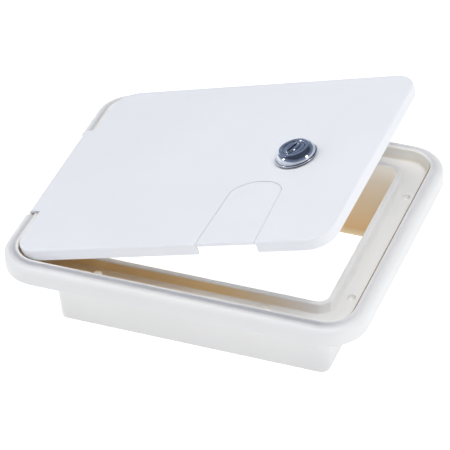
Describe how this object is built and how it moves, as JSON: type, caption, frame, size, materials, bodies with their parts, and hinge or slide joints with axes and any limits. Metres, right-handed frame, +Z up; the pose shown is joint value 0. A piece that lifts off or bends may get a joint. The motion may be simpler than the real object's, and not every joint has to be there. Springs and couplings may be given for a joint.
{
  "type": "deck hatch",
  "caption": "Rectangular moulded deck hatch with a deep skirt, hinged lid, chrome key lock and a small rocking cable flap in the lid's edge.",
  "frame": {"origin": "centre of the frame in plan, at the bottom edge of its skirt", "axes": "+X from the hinge side to the lock side, +Y across the hatch away from the cable flap, +Z up out of the deck"},
  "size_m": [0.28, 0.23, 0.1437],
  "materials": {
    "white_abs": "satin white injection-moulded ABS",
    "chrome_plate": "bright chrome-plated zinc die casting",
    "stainless_steel": "drawn and turned stainless steel",
    "zinc_plated_steel": "stamped steel with bright zinc plating",
    "wafer_brass": "stamped brass",
    "black_rubber": "black moulded rubber",
    "seal_foam": "grey closed-cell foam rubber"
  },
  "bodies": {
    "frame": {"frame": "white_abs", "hinge_pin_front": "stainless_steel", "hinge_pin_rear": "stainless_steel"},
    "lid": {"lid": "white_abs", "lid_seal": "seal_foam", "flap_pivot_pin": "stainless_steel", "lock_body": "chrome_plate", "lock_gasket": "black_rubber", "lock_tooth_washer": "stainless_steel", "lock_nut": "zinc_plated_steel"},
    "cable_flap": {"cable_flap": "white_abs"},
    "lock_plug": {"lock_plug": "chrome_plate", "wafer_1": "wafer_brass", "wafer_2": "wafer_brass", "wafer_3": "wafer_brass", "wafer_4": "wafer_brass", "wafer_5": "wafer_brass", "plug_o_ring": "black_rubber", "cam_stop_plate": "zinc_plated_steel", "lock_cam": "zinc_plated_steel", "cam_washer": "stainless_steel", "cam_screw": "stainless_steel"}
  },
  "joints": [
    {"name": "lid_hinge", "type": "hinge", "parent": "frame", "child": "lid", "pos_m": [-0.1336, 0, 0.0666], "axis": [0, -1, 0], "range_deg": [-16.1, 76]},
    {"name": "lock_turn", "type": "hinge", "parent": "lid", "child": "lock_plug", "pos_m": [0.05736, 0.0007, 0.12692], "axis": [-0.2773, 0, 0.9608], "range_deg": [-90, 0]},
    {"name": "flap_lift", "type": "hinge", "parent": "lid", "child": "cable_flap", "pos_m": [0.04195, -0.045, 0.11831], "axis": [-0.9608, 0, -0.2773], "range_deg": [0, 75]}
  ]
}
